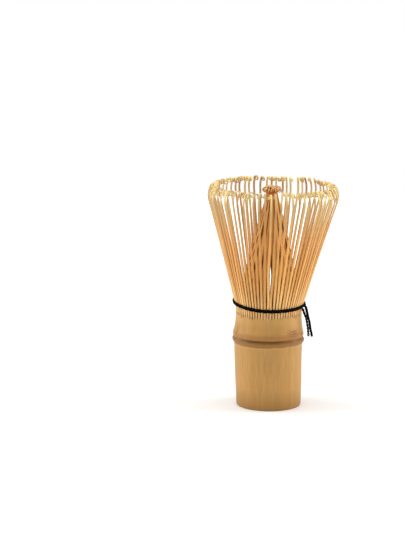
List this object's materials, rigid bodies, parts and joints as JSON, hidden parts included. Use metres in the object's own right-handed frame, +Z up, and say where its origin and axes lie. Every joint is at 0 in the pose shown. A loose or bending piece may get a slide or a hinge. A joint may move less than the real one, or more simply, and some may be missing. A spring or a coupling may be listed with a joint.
{
  "type": "bamboo tea whisk",
  "caption": "Whisk cut from a bamboo culm: a hollow handle with a node, a ring of curled outer tines round a cone of inner tines, laced with black thread.",
  "frame": {"origin": "centre of the flat base, on the axis of the culm", "axes": "+Z up the axis of the culm towards the tines, +X towards the knot of the thread"},
  "size_m": [0.0634, 0.0634, 0.1093],
  "materials": {
    "culm": "satin natural bamboo skin",
    "pith": "matt bamboo inner wall",
    "outer_tine": "satin split bamboo, paler at the tips",
    "inner_tine": "satin split bamboo, darker",
    "thread": "black twisted cotton"
  },
  "bodies": {
    "handle": {"culm_handle": "culm", "node_septum": "pith", "thread_weave": "thread", "thread_wrap_lower": "thread", "thread_wrap_upper": "thread", "thread_knot": "thread"},
    "outer_01": {"outer_tines_01": "outer_tine"},
    "outer_02": {"outer_tines_02": "outer_tine"},
    "outer_03": {"outer_tines_03": "outer_tine"},
    "outer_04": {"outer_tines_04": "outer_tine"},
    "outer_05": {"outer_tines_05": "outer_tine"},
    "outer_06": {"outer_tines_06": "outer_tine"},
    "outer_07": {"outer_tines_07": "outer_tine"},
    "outer_08": {"outer_tines_08": "outer_tine"},
    "outer_09": {"outer_tines_09": "outer_tine"},
    "outer_10": {"outer_tines_10": "outer_tine"},
    "outer_11": {"outer_tines_11": "outer_tine"},
    "outer_12": {"outer_tines_12": "outer_tine"},
    "outer_13": {"outer_tines_13": "outer_tine"},
    "outer_14": {"outer_tines_14": "outer_tine"},
    "outer_15": {"outer_tines_15": "outer_tine"},
    "outer_16": {"outer_tines_16": "outer_tine"},
    "outer_17": {"outer_tines_17": "outer_tine"},
    "outer_18": {"outer_tines_18": "outer_tine"},
    "inner_1": {"inner_tines_1": "inner_tine"},
    "inner_2": {"inner_tines_2": "inner_tine"},
    "inner_3": {"inner_tines_3": "inner_tine"},
    "inner_4": {"inner_tines_4": "inner_tine"},
    "inner_5": {"inner_tines_5": "inner_tine"},
    "inner_6": {"inner_tines_6": "inner_tine"},
    "inner_7": {"inner_tines_7": "inner_tine"},
    "inner_8": {"inner_tines_8": "inner_tine"},
    "tail_a": {"thread_tail_a": "thread"},
    "tail_b": {"thread_tail_b": "thread"}
  },
  "joints": [
    {"name": "outer_01_flex", "type": "hinge", "parent": "handle", "child": "outer_01", "pos_m": [0.01638, 0, 0.0506], "axis": [0, 1, 0], "range_deg": [-3.5, 6], "stiffness_Nm_per_rad": 0.02},
    {"name": "outer_02_flex", "type": "hinge", "parent": "handle", "child": "outer_02", "pos_m": [0.01539, 0.0056, 0.0506], "axis": [-0.342, 0.9397, 0], "range_deg": [-3.5, 6], "stiffness_Nm_per_rad": 0.02},
    {"name": "outer_03_flex", "type": "hinge", "parent": "handle", "child": "outer_03", "pos_m": [0.01255, 0.01053, 0.0506], "axis": [-0.6428, 0.766, 0], "range_deg": [-3.5, 6], "stiffness_Nm_per_rad": 0.02},
    {"name": "outer_04_flex", "type": "hinge", "parent": "handle", "child": "outer_04", "pos_m": [0.00819, 0.01418, 0.0506], "axis": [-0.866, 0.5, 0], "range_deg": [-3.5, 6], "stiffness_Nm_per_rad": 0.02},
    {"name": "outer_05_flex", "type": "hinge", "parent": "handle", "child": "outer_05", "pos_m": [0.00284, 0.01613, 0.0506], "axis": [-0.9848, 0.1736, 0], "range_deg": [-3.5, 6], "stiffness_Nm_per_rad": 0.02},
    {"name": "outer_06_flex", "type": "hinge", "parent": "handle", "child": "outer_06", "pos_m": [-0.00284, 0.01613, 0.0506], "axis": [-0.9848, -0.1736, 0], "range_deg": [-3.5, 6], "stiffness_Nm_per_rad": 0.02},
    {"name": "outer_07_flex", "type": "hinge", "parent": "handle", "child": "outer_07", "pos_m": [-0.00819, 0.01418, 0.0506], "axis": [-0.866, -0.5, 0], "range_deg": [-3.5, 6], "stiffness_Nm_per_rad": 0.02},
    {"name": "outer_08_flex", "type": "hinge", "parent": "handle", "child": "outer_08", "pos_m": [-0.01255, 0.01053, 0.0506], "axis": [-0.6428, -0.766, 0], "range_deg": [-3.5, 6], "stiffness_Nm_per_rad": 0.02},
    {"name": "outer_09_flex", "type": "hinge", "parent": "handle", "child": "outer_09", "pos_m": [-0.01539, 0.0056, 0.0506], "axis": [-0.342, -0.9397, 0], "range_deg": [-3.5, 6], "stiffness_Nm_per_rad": 0.02},
    {"name": "outer_10_flex", "type": "hinge", "parent": "handle", "child": "outer_10", "pos_m": [-0.01638, 0, 0.0506], "axis": [0, -1, 0], "range_deg": [-3.5, 6], "stiffness_Nm_per_rad": 0.02},
    {"name": "outer_11_flex", "type": "hinge", "parent": "handle", "child": "outer_11", "pos_m": [-0.01539, -0.0056, 0.0506], "axis": [0.342, -0.9397, 0], "range_deg": [-3.5, 6], "stiffness_Nm_per_rad": 0.02},
    {"name": "outer_12_flex", "type": "hinge", "parent": "handle", "child": "outer_12", "pos_m": [-0.01255, -0.01053, 0.0506], "axis": [0.6428, -0.766, 0], "range_deg": [-3.5, 6], "stiffness_Nm_per_rad": 0.02},
    {"name": "outer_13_flex", "type": "hinge", "parent": "handle", "child": "outer_13", "pos_m": [-0.00819, -0.01418, 0.0506], "axis": [0.866, -0.5, 0], "range_deg": [-3.5, 6], "stiffness_Nm_per_rad": 0.02},
    {"name": "outer_14_flex", "type": "hinge", "parent": "handle", "child": "outer_14", "pos_m": [-0.00284, -0.01613, 0.0506], "axis": [0.9848, -0.1736, 0], "range_deg": [-3.5, 6], "stiffness_Nm_per_rad": 0.02},
    {"name": "outer_15_flex", "type": "hinge", "parent": "handle", "child": "outer_15", "pos_m": [0.00284, -0.01613, 0.0506], "axis": [0.9848, 0.1736, 0], "range_deg": [-3.5, 6], "stiffness_Nm_per_rad": 0.02},
    {"name": "outer_16_flex", "type": "hinge", "parent": "handle", "child": "outer_16", "pos_m": [0.00819, -0.01418, 0.0506], "axis": [0.866, 0.5, 0], "range_deg": [-3.5, 6], "stiffness_Nm_per_rad": 0.02},
    {"name": "outer_17_flex", "type": "hinge", "parent": "handle", "child": "outer_17", "pos_m": [0.01255, -0.01053, 0.0506], "axis": [0.6428, 0.766, 0], "range_deg": [-3.5, 6], "stiffness_Nm_per_rad": 0.02},
    {"name": "outer_18_flex", "type": "hinge", "parent": "handle", "child": "outer_18", "pos_m": [0.01539, -0.0056, 0.0506], "axis": [0.342, 0.9397, 0], "range_deg": [-3.5, 6], "stiffness_Nm_per_rad": 0.02},
    {"name": "inner_1_flex", "type": "hinge", "parent": "handle", "child": "inner_1", "pos_m": [0.0135, 0, 0.0506], "axis": [0, 1, 0], "range_deg": [0, 3], "stiffness_Nm_per_rad": 0.014},
    {"name": "inner_2_flex", "type": "hinge", "parent": "handle", "child": "inner_2", "pos_m": [0.00955, 0.00955, 0.0506], "axis": [-0.7071, 0.7071, 0], "range_deg": [0, 3], "stiffness_Nm_per_rad": 0.014},
    {"name": "inner_3_flex", "type": "hinge", "parent": "handle", "child": "inner_3", "pos_m": [0, 0.0135, 0.0506], "axis": [-1, 0, 0], "range_deg": [0, 3], "stiffness_Nm_per_rad": 0.014},
    {"name": "inner_4_flex", "type": "hinge", "parent": "handle", "child": "inner_4", "pos_m": [-0.00955, 0.00955, 0.0506], "axis": [-0.7071, -0.7071, 0], "range_deg": [0, 3], "stiffness_Nm_per_rad": 0.014},
    {"name": "inner_5_flex", "type": "hinge", "parent": "handle", "child": "inner_5", "pos_m": [-0.0135, 0, 0.0506], "axis": [0, -1, 0], "range_deg": [0, 3], "stiffness_Nm_per_rad": 0.014},
    {"name": "inner_6_flex", "type": "hinge", "parent": "handle", "child": "inner_6", "pos_m": [-0.00955, -0.00955, 0.0506], "axis": [0.7071, -0.7071, 0], "range_deg": [0, 3], "stiffness_Nm_per_rad": 0.014},
    {"name": "inner_7_flex", "type": "hinge", "parent": "handle", "child": "inner_7", "pos_m": [0, -0.0135, 0.0506], "axis": [1, 0, 0], "range_deg": [0, 3], "stiffness_Nm_per_rad": 0.014},
    {"name": "inner_8_flex", "type": "hinge", "parent": "handle", "child": "inner_8", "pos_m": [0.00955, -0.00955, 0.0506], "axis": [0.7071, 0.7071, 0], "range_deg": [0, 3], "stiffness_Nm_per_rad": 0.014},
    {"name": "tail_a_swing", "type": "hinge", "parent": "handle", "child": "tail_a", "pos_m": [0.0189, -0.00132, 0.0489], "axis": [-0.0698, -0.9976, 0], "range_deg": [0, 60]},
    {"name": "tail_b_swing", "type": "hinge", "parent": "handle", "child": "tail_b", "pos_m": [0.0167, -0.00658, 0.0491], "axis": [-0.3665, -0.9304, 0], "range_deg": [0, 60]}
  ]
}
